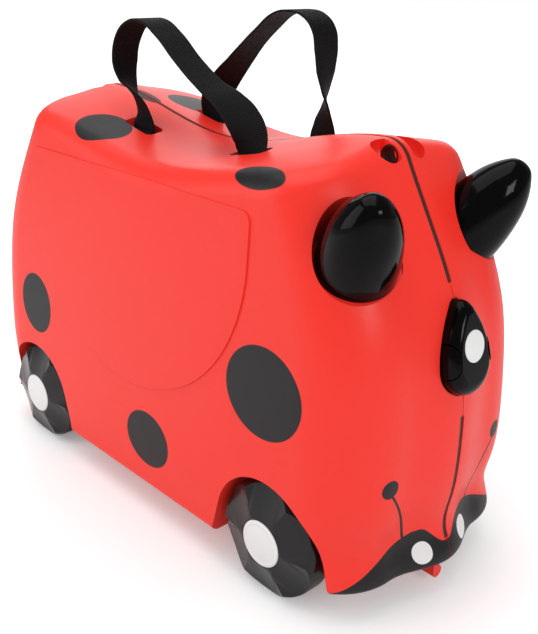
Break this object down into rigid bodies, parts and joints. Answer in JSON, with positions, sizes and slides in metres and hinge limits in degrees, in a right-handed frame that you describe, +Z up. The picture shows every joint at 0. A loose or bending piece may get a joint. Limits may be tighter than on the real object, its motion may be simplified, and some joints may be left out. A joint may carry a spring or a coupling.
{
  "type": "ride-on suitcase",
  "caption": "Child's ride-on hard-shell suitcase with hinged halves, corner wheels, horn grips, squeeze catches and webbing carry handles.",
  "frame": {"origin": "on the floor under the middle of the case", "axes": "+X towards the front with the horn grips, +Y towards the left half, +Z up"},
  "size_m": [0.4778, 0.2088, 0.3805],
  "materials": {
    "shell_plastic": "bright red, satin moulded",
    "black_plastic": "black, glossy",
    "wheel_plastic": "black, glossy",
    "white_plastic": "white, satin",
    "seal_rubber": "dark brown, matt",
    "webbing": "black woven webbing",
    "steel": "plain steel"
  },
  "bodies": {
    "right_half": {"right_shell": "shell_plastic", "hinge_pins": "steel", "right_horn": "black_plastic", "right_horn_screw": "steel", "right_handle_bars": "steel", "right_wheel_washers": "black_plastic", "right_front_axle": "steel", "right_rear_axle": "steel"},
    "left_half": {"left_shell": "shell_plastic", "left_horn": "black_plastic", "left_horn_screw": "steel", "left_handle_bars": "steel", "left_wheel_washers": "black_plastic", "left_front_axle": "steel", "left_rear_axle": "steel", "pack_strap": "webbing", "pack_strap_anchors": "black_plastic", "front_catch_body": "black_plastic", "front_catch_screws": "steel", "front_catch_spring": "steel", "front_upper_seal": "seal_rubber", "front_lower_seal": "seal_rubber", "rear_catch_body": "black_plastic", "rear_catch_screws": "steel", "rear_catch_spring": "steel", "rear_upper_seal": "seal_rubber", "rear_lower_seal": "seal_rubber"},
    "right_front_wheel": {"right_front_wheel": "wheel_plastic", "right_front_hub_cap": "white_plastic"},
    "right_rear_wheel": {"right_rear_wheel": "wheel_plastic", "right_rear_hub_cap": "white_plastic"},
    "left_front_wheel": {"left_front_wheel": "wheel_plastic", "left_front_hub_cap": "white_plastic"},
    "left_rear_wheel": {"left_rear_wheel": "wheel_plastic", "left_rear_hub_cap": "white_plastic"},
    "right_handle": {"right_handle": "webbing"},
    "left_handle": {"left_handle": "webbing"},
    "front_catch_right_button": {"front_catch_right_button": "black_plastic"},
    "front_catch_left_button": {"front_catch_left_button": "black_plastic"},
    "front_lock": {"front_lock_disc": "white_plastic", "front_lock_cam": "black_plastic"},
    "rear_catch_right_button": {"rear_catch_right_button": "black_plastic"},
    "rear_catch_left_button": {"rear_catch_left_button": "black_plastic"},
    "rear_lock": {"rear_lock_disc": "white_plastic", "rear_lock_cam": "black_plastic"}
  },
  "joints": [
    {"name": "case_opening", "type": "hinge", "parent": "right_half", "child": "left_half", "pos_m": [0, 0, 0.0115], "axis": [-1, 0, 0], "range_deg": [0, 155]},
    {"name": "right_front_wheel_spin", "type": "hinge", "parent": "right_half", "child": "right_front_wheel", "pos_m": [0.1482, -0.0888, 0.0435], "axis": [0, 1, 0], "continuous": true},
    {"name": "right_rear_wheel_spin", "type": "hinge", "parent": "right_half", "child": "right_rear_wheel", "pos_m": [-0.1482, -0.0888, 0.0435], "axis": [0, 1, 0], "continuous": true},
    {"name": "left_front_wheel_spin", "type": "hinge", "parent": "left_half", "child": "left_front_wheel", "pos_m": [0.1482, 0.0888, 0.0435], "axis": [0, 1, 0], "continuous": true},
    {"name": "left_rear_wheel_spin", "type": "hinge", "parent": "left_half", "child": "left_rear_wheel", "pos_m": [-0.1482, 0.0888, 0.0435], "axis": [0, 1, 0], "continuous": true},
    {"name": "right_handle_swing", "type": "hinge", "parent": "right_half", "child": "right_handle", "pos_m": [0, -0.036, 0.28351], "axis": [1, 0, 0], "range_deg": [-10, 30]},
    {"name": "left_handle_swing", "type": "hinge", "parent": "left_half", "child": "left_handle", "pos_m": [0, 0.036, 0.28351], "axis": [-1, 0, 0], "range_deg": [-10, 30]},
    {"name": "front_catch_right_press", "type": "slide", "parent": "left_half", "child": "front_catch_right_button", "axis": [0, 1, 0], "range_m": [0, 0.001], "stiffness_N_per_m": 1500, "springref_m": -0.001},
    {"name": "front_catch_left_press", "type": "slide", "parent": "left_half", "child": "front_catch_left_button", "axis": [0, -1, 0], "range_m": [0, 0.001], "stiffness_N_per_m": 1500, "springref_m": -0.001},
    {"name": "front_lock_turn", "type": "hinge", "parent": "left_half", "child": "front_lock", "pos_m": [0.23341, 0, 0.19102], "axis": [0.9746, 0, 0.2241], "range_deg": [0, 90]},
    {"name": "rear_catch_right_press", "type": "slide", "parent": "left_half", "child": "rear_catch_right_button", "axis": [0, 1, 0], "range_m": [0, 0.001], "stiffness_N_per_m": 1500, "springref_m": -0.001},
    {"name": "rear_catch_left_press", "type": "slide", "parent": "left_half", "child": "rear_catch_left_button", "axis": [0, -1, 0], "range_m": [0, 0.001], "stiffness_N_per_m": 1500, "springref_m": -0.001},
    {"name": "rear_lock_turn", "type": "hinge", "parent": "left_half", "child": "rear_lock", "pos_m": [-0.23341, 0, 0.19102], "axis": [-0.9746, 0, 0.2241], "range_deg": [0, 90]}
  ]
}
